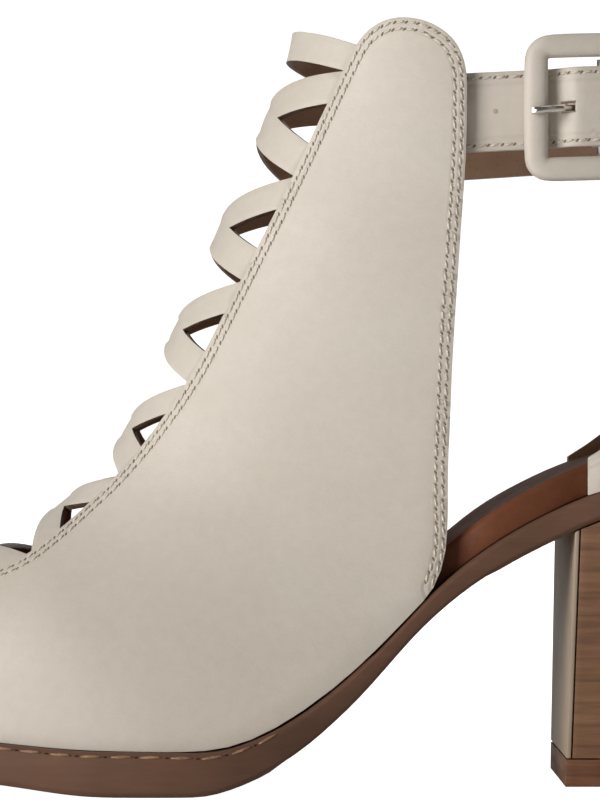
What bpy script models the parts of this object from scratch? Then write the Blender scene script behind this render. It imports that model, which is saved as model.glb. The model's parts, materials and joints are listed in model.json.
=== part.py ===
"""Left ankle strap sandal on a stacked block heel, with a lattice over the instep.

Lengths are millimetres until a mesh is made, which is in metres.
The toe points to -X, the outer side of the foot to -Y, and +Z is up.
The origin is the middle of the heel's resting face, on the floor.
"""
import math

import bmesh
import bpy
from mathutils import Vector

MM = 0.001

# Shoe and last
SHOE_LENGTH = 231.0     # toe tip to the back of the outsole, along the floor
HEEL_BACK = 32.0        # origin to the back of the outsole
BALL_WIDTH = 84.0       # outsole across the ball
SEAT_RISE = 62.3        # underside of the outsole at the back of the heel
PANEL_TOP = 153.2       # peak of the side panels above the floor
COLLAR_WIDTH = 64.0     # across the outer faces of the panels at the ankle strap

# Walls and gaps
SOLE_THICK = 8.6        # outsole at the ball
SOLE_EDGE = 1.0         # rounding of the outsole's rims
SOLE_SPACING = 5.0      # between the sole's sections
PANEL_WALL = 2.0        # leather and lining of a side panel
PANEL_STEP = 0.8        # the panel's folded edge above the lattice
COUNTER_WALL = 1.9
WELT_RIM = 3.0          # outsole showing outside the upper at the ball
WAIST_RIM = 0.8         # the same at the waist and heel
GAP = 0.3               # between pieces that touch
FOOTBED_THICK = 6.6     # at the waist and heel
FOOTBED_FORE = 4.2      # under the toes
FOOTBED_DISH = 1.4      # how far the seat dips between its rims

# Lattice over the instep
LATTICE_CROSSES = 6
LATTICE_PITCH = 23.2    # along the panel's edge, one crossing to the next
ARM_BASE = 7.0          # width of an arm where it meets the panel
ARM_WIDTH = 6.4         # length of a crossing along the ridge
TOP_BAND = 5.6          # the plain band above the first crossing
TOE_BAND = 13.0         # the band at the toe opening
HOLE_REACH = 0.50       # tip of a side hole, from the ridge (0) to the panel's edge (1)

# Heel
HEEL_DEPTH = 42.0       # front to back on the floor
HEEL_WIDTH = 41.0       # across on the floor
TOP_LIFT = 5.5
BREAST_LEAN = 1.4       # the breast runs forward by this much down to the floor
BREAST_COVER = 0.9
BLOCK_INSET = 0.9       # block inside the outsole's edge
LIFT_INSET = 0.2        # top lift inside the block
LIFT_CORNER = 0.62      # share of the top lift's depth taken by its rounded back
LIFT_FULLNESS = 2.4     # exponent of that rounding, 2 is an ellipse

# Ankle strap and buckle
STRAP_WIDTH = 15.7
STRAP_THICK = 1.8
STRAP_DROP = 19.6       # its middle below the panels' peak, where it is sewn on
STRAP_CLIMB = 3.4       # how much higher its middle lies behind the heel
STRAP_INNER_DROP = 1.6  # its inner end below its outer end
STRAP_TUCK = 13.0       # length sewn behind a panel
STRAP_BACK = 22.0       # outer face of the strap behind the heel
STRAP_ROUND = 2.4       # exponent of its curve seen from above
STRAP_BEND = 1.5        # its curve round the heel starts this far behind the panel
STRAP_TOE_IN = 0.011    # how fast the sewn end follows the panel inwards, per mm
STRAP_SLOPE = 4.5       # length over which the free end climbs onto the centre bar
BUCKLE_REACH = 11.0     # panel's back edge to the buckle's front
BUCKLE_LONG = 31.4
BUCKLE_TALL = 29.3
BUCKLE_BAR = 4.9
BUCKLE_THICK = 4.2
BUCKLE_CORNER = 5.2
BAR_RADIUS = 0.8
LOOP_LEATHER = 1.1      # skived leather round the centre bar
PRONG_RADIUS = 0.8
PRONG_SLOT = 2.3        # width of the hole and the slot in the leather for the prong
PRONG_ASKEW = 0.7       # the prong's tip below the strap's middle
PRONG_BEVEL = 1.6       # length of the slanted cut at its tip
PRONG_SHORT = 1.3       # the tip behind the buckle's front
SLOT_FROM = 8.2         # the holed strap's hole, in front of the centre bar
SLOT_TO = 5.6
BAR_OUT = 0.2           # centre bar outside the strap's line
FOLD_LONG = 13.0        # leather folded back behind the centre bar
TIP_REACH = 11.0        # free end beyond the buckle
KEEPER_WIDTH = 6.0
KEEPER_WALL = 1.2

TOE_X = HEEL_BACK - SHOE_LENGTH
STRAP_Z = PANEL_TOP - STRAP_DROP
COLLAR_HALF = COLLAR_WIDTH / 2.0
STRAP_HALF_SPAN = COLLAR_HALF - PANEL_WALL - GAP

# Sole sections from toe to heel: place along the shoe, underside as a share of SEAT_RISE,
# thickness as a share of SOLE_THICK
SOLE_RISE = (
    (0.000, 0.144, 0.95),
    (0.050, 0.122, 0.93),
    (0.115, 0.096, 0.91),
    (0.210, 0.063, 0.89),
    (0.284, 0.036, 0.91),
    (0.375, 0.000, 1.00),
    (0.461, 0.000, 0.96),
    (0.491, 0.034, 0.88),
    (0.529, 0.101, 0.86),
    (0.586, 0.275, 0.74),
    (0.651, 0.536, 0.60),
    (0.710, 0.700, 0.66),
    (0.760, 0.796, 0.68),
    (0.796, 0.857, 0.63),
    (0.859, 0.925, 0.61),
    (0.929, 0.973, 0.61),
    (1.000, 1.000, 0.61),
)
# Where along the shoe the rim narrows, the upper starts to lean over the footbed, the footbed
# thickens and its dish begins
RIM_SPAN = (0.44, 0.57)
LEAN_SPAN = (0.10, 0.20)
FOOTBED_SPAN = (0.40, 0.62)
DISH_SPAN = (0.30, 0.60)
TREAD_FRONT = SOLE_RISE[5][0]
TREAD_BACK = SOLE_RISE[6][0]

# Sole outline: place along the shoe, middle line towards the inner side and half width,
# both as shares of BALL_WIDTH, before the ends are rounded
SOLE_OUTLINE = (
    (0.00, 0.060, 0.350),
    (0.10, 0.048, 0.395),
    (0.20, 0.026, 0.442),
    (0.31, 0.006, 0.488),
    (0.375, -0.008, 0.500),
    (0.43, -0.022, 0.490),
    (0.49, -0.036, 0.455),
    (0.55, -0.042, 0.405),
    (0.62, -0.040, 0.357),
    (0.69, -0.026, 0.331),
    (0.76, -0.012, 0.327),
    (0.83, 0.000, 0.337),
    (0.90, 0.000, 0.338),
    (1.00, 0.000, 0.336),
)
SEAT_WIDTH = SOLE_OUTLINE[-1][2]
TOE_ROUND = 0.165       # length of the rounded toe, as a share of SHOE_LENGTH
HEEL_ROUND = 0.125

# Ribs of the upper, fanned from the ridge of the instep to the panel's back edge and then
# to the sole: ridge along and high, far end along and high (0 lies on the sole), half width
# as a share of COLLAR_WIDTH where the rib ends above the sole, fullness of the section
RIBS = (
    (0.530, 1.120, 0.683, 1.032, 0.500, 0.10),
    (0.529, 0.993, 0.683, 0.905, 0.500, 0.10),
    (0.507, 0.898, 0.682, 0.824, 0.500, 0.12),
    (0.464, 0.743, 0.677, 0.705, 0.486, 0.16),
    (0.426, 0.613, 0.671, 0.562, 0.472, 0.20),
    (0.381, 0.472, 0.667, 0.419, 0.456, 0.26),
    (0.357, 0.426, 0.659, 0.000, 0.430, 0.32),
    (0.330, 0.380, 0.584, 0.000, 0.430, 0.36),
    (0.294, 0.343, 0.455, 0.000, 0.430, 0.38),
    (0.251, 0.307, 0.351, 0.000, 0.430, 0.38),
    (0.188, 0.277, 0.238, 0.000, 0.430, 0.36),
    (0.115, 0.246, 0.135, 0.000, 0.430, 0.34),
    (0.045, 0.214, 0.045, 0.000, 0.430, 0.32),
)
CORNER_RIB = 6          # the rib that ends at the panel's lower back corner
RIDGE_SHARE = 0.8       # how far the ridge follows the sole's middle line over the toes

# Front edge of a side panel in side view, from where the ribs first touch its rounded top, over
# its peak and down the throat to the toe opening: along the shoe, and high as a share of PANEL_TOP
FRONT_EDGE = (
    (0.6520, 0.9914),
    (0.6420, 0.9968),
    (0.6300, 1.0000),
    (0.6200, 0.9994),
    (0.6105, 0.9958),
    (0.5991, 0.9850),
    (0.5887, 0.9670),
    (0.5671, 0.9015),
    (0.5350, 0.8000),
    (0.4900, 0.6655),
    (0.4430, 0.5320),
    (0.3830, 0.4115),
    (0.3110, 0.3115),
    (0.2640, 0.2780),
    (0.2100, 0.2520),
    (0.1450, 0.2280),
    (0.1120, 0.2010),
    (0.0830, 0.1555),
    (0.0650, 0.0900),
)
BAND_KNOT = 6           # where the top band begins
# Rounded top corner from the same point to the back edge
TOP_CORNER = (
    (0.6520, 0.9914),
    (0.6610, 0.9840),
    (0.6690, 0.9745),
    (0.6755, 0.9617),
    (0.6805, 0.9440),
    (0.6838, 0.9190),
)

# Counter rows from the sole up: back ridge behind the origin (share of HEEL_BACK) and high,
# front limit along the shoe and high, both heights as shares of PANEL_TOP, width of the row
COUNTER_ROWS = (
    (0.975, 0.000, 0.788, 0.000, 1.000),
    (1.000, 0.492, 0.788, 0.430, 1.010),
    (0.985, 0.550, 0.825, 0.464, 1.020),
    (0.930, 0.610, 0.864, 0.520, 1.015),
    (0.835, 0.676, 0.894, 0.592, 0.990),
    (0.735, 0.742, 0.916, 0.676, 0.955),
    (0.630, 0.800, 0.932, 0.755, 0.900),
    (0.604, 0.862, 0.936, 0.850, 0.860),
    (0.596, 0.930, 0.937, 0.926, 0.850),
)


def smooth_steps(rows, column, place):
    """Value of one column of a table at a place, on a curve that never overshoots."""
    count = len(rows)
    if place <= rows[0][0]:
        return rows[0][column]
    if place >= rows[-1][0]:
        return rows[-1][column]
    low = 0
    while low < count - 2 and place > rows[low + 1][0]:
        low += 1

    def slope(i):
        return (rows[i + 1][column] - rows[i][column]) / (rows[i + 1][0] - rows[i][0])

    def tangent(i):
        if i == 0:
            return slope(0)
        if i == count - 1:
            return slope(count - 2)
        before, after = slope(i - 1), slope(i)
        if before * after <= 0.0:
            return 0.0
        return 2.0 * before * after / (before + after)

    width = rows[low + 1][0] - rows[low][0]
    u = (place - rows[low][0]) / width
    start, end = rows[low][column], rows[low + 1][column]
    return (start * (1 + 2 * u) * (1 - u) ** 2 + end * u * u * (3 - 2 * u)
            + width * u * (1 - u) * (tangent(low) * (1 - u) - tangent(low + 1) * u))


def ease(low, high, value):
    """0 below low, 1 above high, smooth between."""
    u = min(1.0, max(0.0, (value - low) / (high - low)))
    return u * u * (3 - 2 * u)


def along_to_x(along):
    return TOE_X + along * SHOE_LENGTH


def x_to_along(x):
    return (x - TOE_X) / SHOE_LENGTH


def sole_bottom(x):
    return SEAT_RISE * smooth_steps(SOLE_RISE, 1, x_to_along(x))


def sole_top(x):
    return sole_bottom(x) + SOLE_THICK * smooth_steps(SOLE_RISE, 2, x_to_along(x))


def sole_half(x):
    """Half width of the outsole, with its round toe and heel."""
    along = x_to_along(x)
    if along <= 0.0 or along >= 1.0:
        return 0.0
    body = BALL_WIDTH * smooth_steps(SOLE_OUTLINE, 2, along)
    end = min(along / TOE_ROUND, (1.0 - along) / HEEL_ROUND, 1.0)
    return body * math.sqrt(1.0 - (1.0 - end) ** 2)


def sole_middle(x):
    return BALL_WIDTH * smooth_steps(SOLE_OUTLINE, 1, x_to_along(x))


def sole_stations():
    """Places along the shoe: close together at the round ends, even between."""
    toe = [TOE_ROUND * (1 - math.cos(math.pi / 2 * i / 6)) for i in range(6)]
    heel = [1 - HEEL_ROUND * (1 - math.cos(math.pi / 2 * i / 6)) for i in range(6)]
    spans = ((TOE_ROUND, TREAD_FRONT), (TREAD_FRONT, TREAD_BACK), (TREAD_BACK, 1 - HEEL_ROUND))
    middle = []
    for start, end in spans:
        steps = max(1, round((end - start) * SHOE_LENGTH / SOLE_SPACING))
        middle += [start + (end - start) * i / steps for i in range(steps)]
    return toe + middle + [1 - HEEL_ROUND] + heel[:0:-1] + [1.0]


def rim_width(x):
    """How far the outsole shows outside the upper."""
    return WELT_RIM + (WAIST_RIM - WELT_RIM) * ease(*RIM_SPAN, x_to_along(x))


def make_material(name, colour, roughness, metallic=0.0):
    material = bpy.data.materials.new(name)
    material.use_nodes = True
    shader = material.node_tree.nodes["Principled BSDF"]
    shader.inputs["Base Color"].default_value = (*colour, 1.0)
    shader.inputs["Roughness"].default_value = roughness
    shader.inputs["Metallic"].default_value = metallic
    material.diffuse_color = (*colour, 1.0)
    return material


def add_object(name, mesh, material, sharp=35.0):
    for corner in mesh.vertices:
        corner.co *= MM
    mesh.update()
    mesh.materials.append(material)
    mesh.shade_smooth()
    mesh.set_sharp_from_angle(angle=math.radians(sharp))
    piece = bpy.data.objects.new(name, mesh)
    bpy.context.collection.objects.link(piece)
    return piece


def mesh_from(name, points, faces):
    """Closed mesh from points and faces, with its faces turned outwards."""
    work = bmesh.new()
    corners = [work.verts.new(point) for point in points]
    for face in faces:
        ring = []
        for index in face:
            if corners[index] not in ring:
                ring.append(corners[index])
        if len(ring) > 2:
            work.faces.new(ring)
    bmesh.ops.recalc_face_normals(work, faces=work.faces)
    mesh = bpy.data.meshes.new(name)
    work.to_mesh(mesh)
    work.free()
    return mesh


def outline_pairs(stations, inset):
    """Outer and inner points of the sole's outline, moved in by inset(x), toe to heel."""
    def edge(x, side):
        return Vector((x, sole_middle(x) + side * sole_half(x), 0.0))

    tip = along_to_x(stations[0])
    back = along_to_x(stations[-1])
    pairs = [[Vector((tip + inset(tip), sole_middle(tip), 0.0))] * 2]
    for i in range(1, len(stations) - 1):
        pair = []
        for side in (-1, 1):
            here = edge(along_to_x(stations[i]), side)
            before = edge(along_to_x(stations[i - 1]), side)
            after = edge(along_to_x(stations[i + 1]), side)
            run = (after - before).normalized()
            inward = Vector((-run.y, run.x, 0.0)) * -side
            pair.append(here + inward * inset(here.x))
        pairs.append(pair)
    pairs.append([Vector((back - inset(back), sole_middle(back), 0.0))] * 2)
    return pairs


def plan_solid(name, levels, columns, cap_dip):
    """Solid between rings of paired points; its top cap dips across by cap_dip(x)."""
    points = []
    faces = []
    count = len(levels[0])
    rings = []
    for pairs in levels:
        ring = []
        for pair in pairs:
            row = []
            for point in (pair if pair[0] != pair[1] else pair[:1]):
                row.append(len(points))
                points.append(point)
            ring.append((row[0], row[-1]))
        rings.append(ring)
    for lower, upper in zip(rings, rings[1:]):
        for i in range(count - 1):
            for side in (0, 1):
                faces.append((lower[i][side], lower[i + 1][side],
                              upper[i + 1][side], upper[i][side]))

    def cap(ring, dip):
        rows = []
        for left, right in ring:
            row = [left]
            if left != right:
                for step in range(1, columns):
                    share = step / columns
                    point = points[left].lerp(points[right], share)
                    point.z -= dip(point.x) * 4.0 * share * (1.0 - share)
                    row.append(len(points))
                    points.append(point)
            row.append(right)
            rows.append(row)
        for a, b in zip(rows, rows[1:]):
            longest = max(len(a), len(b)) - 1
            for j in range(longest):
                faces.append((a[min(j, len(a) - 1)], a[min(j + 1, len(a) - 1)],
                              b[min(j + 1, len(b) - 1)], b[min(j, len(b) - 1)]))

    cap(rings[0], lambda x: 0.0)
    cap(rings[-1], cap_dip)
    return mesh_from(name, points, faces)


def at_height(pairs, height):
    return [[Vector((point.x, point.y, height(point.x))) for point in pair] for pair in pairs]


def build_outsole(material):
    stations = sole_stations()
    flush = outline_pairs(stations, lambda x: 0.0)
    eased = outline_pairs(stations, lambda x: SOLE_EDGE)
    levels = [
        at_height(eased, sole_bottom),
        at_height(flush, lambda x: sole_bottom(x) + SOLE_EDGE),
        at_height(flush, lambda x: sole_top(x) - SOLE_EDGE),
        at_height(eased, sole_top),
    ]
    return add_object("outsole", plan_solid("outsole", levels, 2, lambda x: 0.0), material)


def footbed_inset(x):
    """Clear of the upper's wall in front, near the edge at the waist, inside the counter."""
    panel_end = along_to_x(RIBS[CORNER_RIB - 1][2])
    counter_front = along_to_x(COUNTER_ROWS[0][2])
    lean = upper_lean(x) * ease(*LEAN_SPAN, x_to_along(x))
    covered = rim_width(x) + lean + PANEL_WALL + 2 * GAP
    bare = WAIST_RIM + GAP
    seated = WAIST_RIM + COUNTER_WALL + 2 * GAP
    open_waist = ease(panel_end + 1.0, panel_end + 6.0, x)
    in_counter = ease(counter_front - 6.0, counter_front - 1.0, x)
    return (covered * (1 - open_waist) + bare * open_waist) * (1 - in_counter) + seated * in_counter


def upper_lean(x):
    """How far the upper's wall leans in over the sole by the height of the footbed's top."""
    t, turn = find_rib(x, sole_top(x) + GAP + footbed_height(x))
    walls = [upper_point(t, side * turn).y for side in (-1, 1)]
    return max([0.0] + [abs(sole_wall(x, side) - y) for side, y in zip((-1, 1), walls)])


def footbed_height(x):
    grow = ease(*FOOTBED_SPAN, x_to_along(x))
    return FOOTBED_FORE + (FOOTBED_THICK - FOOTBED_FORE) * grow


def build_footbed(material):
    stations = sole_stations()
    edge = outline_pairs(stations, footbed_inset)
    top_edge = outline_pairs(stations, lambda x: footbed_inset(x) + SOLE_EDGE)
    levels = [
        at_height(edge, lambda x: sole_top(x) + GAP),
        at_height(edge, lambda x: sole_top(x) + GAP + footbed_height(x) - SOLE_EDGE),
        at_height(top_edge, lambda x: sole_top(x) + GAP + footbed_height(x)),
    ]

    def dish(x):
        return FOOTBED_DISH * ease(*DISH_SPAN, x_to_along(x))

    return add_object("footbed", plan_solid("footbed", levels, 4, dish), material)


def heel_outline(level):
    """Outline of the heel from breast to back: along, half width, middle. Level 0 is the floor."""
    steps = 12
    top_breast = -HEEL_DEPTH / 2.0 + BREAST_LEAN
    breast = -HEEL_DEPTH / 2.0 + BREAST_LEAN * level
    top_back = HEEL_BACK - BLOCK_INSET
    seat_share = 1 - BLOCK_INSET / (SEAT_WIDTH * BALL_WIDTH)
    back = HEEL_DEPTH / 2.0 * (1 - level) + top_back * level
    points = []
    for i in range(steps + 1):
        share = 1 - math.cos(math.pi / 2 * (1 - i / steps))
        x = back - (back - breast) * share
        top_x = top_back - (top_back - top_breast) * share
        top_y = sole_half(top_x) * seat_share
        corner = 1 - min(1.0, share / LIFT_CORNER)
        floor_y = HEEL_WIDTH / 2.0 * (1 - corner ** LIFT_FULLNESS) ** (1 / LIFT_FULLNESS)
        points.append((x, floor_y * (1 - level) + top_y * level, sole_middle(top_x) * level))
    return points


def build_heel(block_material, lift_material, cover_material):
    def solid(name, low, high, front, inset):
        """Heel slice between two levels; high None follows the underside of the outsole."""
        points = []
        faces = []
        rings = []
        for level, height in (low, high):
            outline = heel_outline(level)
            ring = []
            for side in (-1, 1):
                walk = outline if side < 0 else outline[-2::-1]
                for x, half, middle in walk:
                    x = max(x, outline[0][0] + front)
                    half = max(0.0, half - inset)
                    z = height if height is not None else sole_bottom(x) - GAP
                    ring.append(len(points))
                    points.append(Vector((min(x, outline[-1][0] - inset), middle + side * half, z)))
            rings.append(ring)
        count = len(rings[0])
        for i in range(count):
            j = (i + 1) % count
            faces.append((rings[0][i], rings[0][j], rings[1][j], rings[1][i]))
        for ring in rings:
            for i in range(count // 2):
                faces.append((ring[i], ring[i + 1], ring[count - 2 - i], ring[count - 1 - i]))
        return mesh_from(name, points, faces)

    lift_level = TOP_LIFT / SEAT_RISE
    seam_level = (TOP_LIFT + GAP) / SEAT_RISE
    cover = BREAST_COVER + GAP
    block = solid("heel_block", (seam_level, TOP_LIFT + GAP), (1.0, None), cover, 0.0)
    add_object("heel_block", block, block_material)
    lift = solid("top_lift", (0.0, 0.0), (lift_level, TOP_LIFT), 0.0, LIFT_INSET)
    add_object("top_lift", lift, lift_material)

    low = heel_outline(seam_level)
    high = heel_outline(1.0)
    points = []
    for outline, height in ((low, TOP_LIFT + GAP), (high, None)):
        x, half, middle = outline[0]
        for front in (0.0, BREAST_COVER):
            for side in (-1, 1):
                z = height if height is not None else sole_bottom(x + front) - GAP
                points.append(Vector((x + front, middle + side * half, z)))
    faces = [(0, 1, 3, 2), (4, 5, 7, 6), (0, 1, 5, 4), (2, 3, 7, 6), (0, 2, 6, 4), (1, 3, 7, 5)]
    add_object("heel_breast_cover", mesh_from("heel_breast_cover", points, faces), cover_material)


def curve_through(points, u):
    """Point at u, from 0 to the last index, on a smooth curve through the points."""
    last = len(points) - 1
    i = min(int(u), last - 1)
    f = u - i
    a = points[max(i - 1, 0)]
    b, c = points[i], points[i + 1]
    d = points[min(i + 2, last)]
    return tuple(0.5 * (2 * q + (r - p) * f + (2 * p - 5 * q + 4 * r - s) * f * f
                        + (3 * q - p - 3 * r + s) * f ** 3) for p, q, r, s in zip(a, b, c, d))


def side_points(table):
    return [(along_to_x(along), high * PANEL_TOP) for along, high in table]


RIB_POINTS = [(along_to_x(row[0]), row[1] * PANEL_TOP, along_to_x(row[2]),
               max(row[3] * PANEL_TOP, sole_top(along_to_x(row[2])) + GAP), row[5])
              for row in RIBS]


def sole_wall(x, side):
    """Where the upper's outer face meets the sole."""
    return sole_middle(x) + side * max(0.0, sole_half(x) - rim_width(x))


def rib(t):
    """Ridge and far end of the rib at t, and its fullness."""
    ridge_x, ridge_z, end_x, end_z, full = curve_through(RIB_POINTS, t)
    seam = sole_top(end_x) + GAP
    if t >= CORNER_RIB:
        end_z = seam
    return ridge_x, ridge_z, end_x, max(end_z, seam), full


def rib_reach(t, side):
    """Y of the rib's far end."""
    end_x = rib(t)[2]
    if t >= CORNER_RIB:
        return sole_wall(end_x, side)
    corner_x = rib(CORNER_RIB)[2]
    rows = [(i, side * COLLAR_WIDTH * RIBS[i][4]) for i in range(CORNER_RIB)]
    rows.append((CORNER_RIB, sole_wall(corner_x, side)))
    return smooth_steps(rows, 1, t)


def upper_point(t, turn):
    """Outer face of the upper; turn runs from -90 degrees (outer side) over the ridge to 90."""
    ridge_x, ridge_z, end_x, end_z, full = rib(t)
    side = -1 if turn < 0 else 1
    drop = 1.0 - math.cos(turn)
    ridge_y = RIDGE_SHARE * sole_middle(ridge_x) * ease(CORNER_RIB - 2, CORNER_RIB + 3, t)
    swing = abs(math.sin(turn)) * (1.0 + full * math.cos(turn) ** 2)
    y = ridge_y + (rib_reach(t, side) - ridge_y) * swing
    return Vector((ridge_x + (end_x - ridge_x) * drop, y, ridge_z + (end_z - ridge_z) * drop))


def upper_normal(t, turn):
    step = 0.004
    across = upper_point(t, turn + step) - upper_point(t, turn - step)
    down = upper_point(min(t + step, len(RIBS) - 1.0), turn) - upper_point(max(t - step, 0.0), turn)
    return across.cross(down).normalized()


def find_rib(x, z):
    """The rib through a point of the side view, and the turn at which it passes there."""
    low, high = 0.0, len(RIBS) - 1.0
    for _ in range(40):
        middle = (low + high) / 2.0
        ridge_x, ridge_z, end_x, end_z, _ = rib(middle)
        above = (end_x - ridge_x) * (z - ridge_z) - (end_z - ridge_z) * (x - ridge_x)
        if above > 0.0:
            high = middle
        else:
            low = middle
    ridge_x, ridge_z, end_x, end_z, _ = rib(low)
    span = Vector((end_x - ridge_x, end_z - ridge_z))
    share = Vector((x - ridge_x, z - ridge_z)).dot(span) / span.length_squared
    return low, math.acos(1.0 - min(1.0, max(0.0, share)))


class SideCurve:
    """A smooth curve in side view, read by the distance along it."""

    def __init__(self, table):
        knots = side_points(table)
        steps = 24 * (len(knots) - 1)
        self.points = [curve_through(knots, i / 24) for i in range(steps + 1)]
        self.lengths = [0.0]
        for a, b in zip(self.points, self.points[1:]):
            self.lengths.append(self.lengths[-1] + math.dist(a, b))
        self.knot_lengths = self.lengths[::24]

    def at(self, length):
        for i in range(len(self.points) - 1):
            if length <= self.lengths[i + 1] or i == len(self.points) - 2:
                share = (length - self.lengths[i]) / (self.lengths[i + 1] - self.lengths[i])
                a, b = self.points[i], self.points[i + 1]
                return a[0] + (b[0] - a[0]) * share, a[1] + (b[1] - a[1]) * share


FRONT = SideCurve(FRONT_EDGE)
CORNER = SideCurve(TOP_CORNER)
BAND_START = FRONT.knot_lengths[BAND_KNOT]
CROSS_START = BAND_START + TOP_BAND
CROSS_END = CROSS_START + LATTICE_CROSSES * LATTICE_PITCH
FRONT_END = FRONT.lengths[-1]


def edge_spot(length):
    """Rib and turn of the panel's front edge at a distance from its peak."""
    return find_rib(*FRONT.at(length))


def back_turn(t):
    """Turn at which the rib at t leaves the panel at the back or the sole."""
    spots = [find_rib(*point) for point in CORNER.points[::6]]
    if t >= spots[-1][0]:
        return math.pi / 2.0
    for (t_a, turn_a), (t_b, turn_b) in zip(spots, spots[1:]):
        if t_a <= t <= t_b:
            return turn_a + (turn_b - turn_a) * (t - t_a) / max(1e-9, t_b - t_a)
    return spots[0][1]


def front_stations():
    """Distances along the front edge: tab, band, crossings, toe band and toe opening."""
    stations = [BAND_START * share for share in (0.0, 0.12, 0.25, 0.4, 0.55, 0.7, 0.85)]
    stations += [BAND_START, BAND_START + TOP_BAND / 2.0]
    for cross in range(LATTICE_CROSSES):
        start = CROSS_START + cross * LATTICE_PITCH
        end = start + LATTICE_PITCH
        stations += [start, start + ARM_BASE / 2.0, start + ARM_BASE, start + LATTICE_PITCH / 2.0,
                     end - ARM_BASE, end - ARM_BASE / 2.0]
    stations += [CROSS_END + TOE_BAND * i / 3 for i in range(4)]
    rest = FRONT_END - CROSS_END - TOE_BAND
    stations += [CROSS_END + TOE_BAND + rest * i / 5 for i in range(1, 6)]
    return [round(value, 6) for value in stations]


def layered_solid(name, cells, place, bottom):
    """Closed solid from cells of one sheet; each cell is its corners and the layer it starts at.

    place(corner, layer) gives a point. Walls step down one layer at a time to the bottom.
    """
    numbers = {}
    points = []
    faces = []

    def number(corner, layer):
        if (corner, layer) not in numbers:
            numbers[corner, layer] = len(points)
            points.append(place(corner, layer))
        return numbers[corner, layer]

    edges = {}
    for corners, top in cells:
        ring = [corner for i, corner in enumerate(corners) if corner != corners[i - 1]]
        faces.append([number(corner, top) for corner in ring])
        faces.append([number(corner, bottom) for corner in reversed(ring)])
        for i, corner in enumerate(ring):
            edges.setdefault(frozenset((ring[i - 1], corner)), []).append((ring[i - 1], corner, top))
    for uses in edges.values():
        first, second, top = min(uses, key=lambda use: use[2])
        lowest = bottom if len(uses) == 1 else max(use[2] for use in uses)
        for layer in range(top, lowest):
            faces.append([number(first, layer), number(second, layer),
                          number(second, layer + 1), number(first, layer + 1)])
    return mesh_from(name, points, faces)


def build_upper(material):
    """Both side panels, the lattice and its bands as one wall."""
    columns = 7
    stations = front_stations()
    spots = {}
    cells = []

    def edge_corner(side, length):
        key = ("edge", side, round(length, 6))
        if key not in spots:
            t, turn = edge_spot(length)
            spots[key] = (t, side * turn)
        return key

    def sheet_corner(length, across):
        """Corner of the lattice; across runs from -1 at the outer panel to 1 at the inner."""
        if abs(across) == 1.0:
            return edge_corner(int(across), length)
        key = ("sheet", round(length, 6), round(across, 6))
        if key not in spots:
            t, turn = edge_spot(length)
            spots[key] = (t, across * turn)
        return key

    for side in (-1, 1):
        rungs = []
        for length in stations:
            t, turn = edge_spot(length)
            far = back_turn(t)
            rung = [edge_corner(side, length)]
            for j in range(1, columns + 1):
                if length in (stations[0], stations[-1]):
                    rung.append(rung[0])
                    continue
                key = ("panel", side, length, j)
                spots[key] = (t, side * (turn + (far - turn) * j / columns))
                rung.append(key)
            rungs.append(rung)
        for a, b in zip(rungs, rungs[1:]):
            for j in range(columns):
                cells.append(((a[j], a[j + 1], b[j + 1], b[j]), 0))

    def band(lengths, steps):
        rows = [[sheet_corner(length, -1.0 + 2.0 * i / steps) for length in lengths]
                for i in range(steps + 1)]
        for a, b in zip(rows, rows[1:]):
            for j in range(len(lengths) - 1):
                cells.append(((a[j], a[j + 1], b[j + 1], b[j]), 1))

    band([BAND_START, BAND_START + TOP_BAND / 2.0, CROSS_START], 12)
    band([CROSS_END + TOE_BAND * i / 3 for i in range(4)], 12)

    arm_steps = 5
    for cross in range(LATTICE_CROSSES):
        start = CROSS_START + cross * LATTICE_PITCH
        middle = start + LATTICE_PITCH / 2.0

        def mixed(a, b, share):
            return tuple(p + (q - p) * share for p, q in zip(a, b))

        for end in (-1, 1):
            tip = (middle + end * ARM_WIDTH / 2.0, 0.0)
            for side in (-1, 1):
                hole = (middle, side * HOLE_REACH)
                far_tip = (middle + end * LATTICE_PITCH / 2.0, float(side))
                far_hole = (far_tip[0] - end * ARM_BASE, float(side))
                rows = []
                for i in range(arm_steps + 1):
                    outer = mixed(tip, far_tip, i / arm_steps)
                    inner = mixed(hole, far_hole, i / arm_steps)
                    rows.append([sheet_corner(*mixed(outer, inner, j / 2)) for j in range(3)])
                for a, b in zip(rows, rows[1:]):
                    for j in range(2):
                        cells.append(((a[j], a[j + 1], b[j + 1], b[j]), 1))
                ridge = [sheet_corner(*mixed(tip, (middle, 0.0), j / 2)) for j in range(3)]
                waist = sheet_corner(middle, side * HOLE_REACH / 2.0)
                cells.append(((ridge[0], ridge[1], rows[0][1]), 1))
                cells.append(((ridge[1], ridge[2], waist, rows[0][1]), 1))
                cells.append(((rows[0][1], waist, rows[0][2]), 1))

    depths = (0.0, PANEL_STEP, PANEL_WALL)
    places = {key: (upper_point(*spot), upper_normal(*spot)) for key, spot in spots.items()}

    def place(key, layer):
        point, normal = places[key]
        point = point - normal * depths[layer]
        point.z = max(point.z, sole_top(point.x) + GAP)
        return point

    return add_object("upper", layered_solid("upper", cells, place, 2), material)


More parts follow.
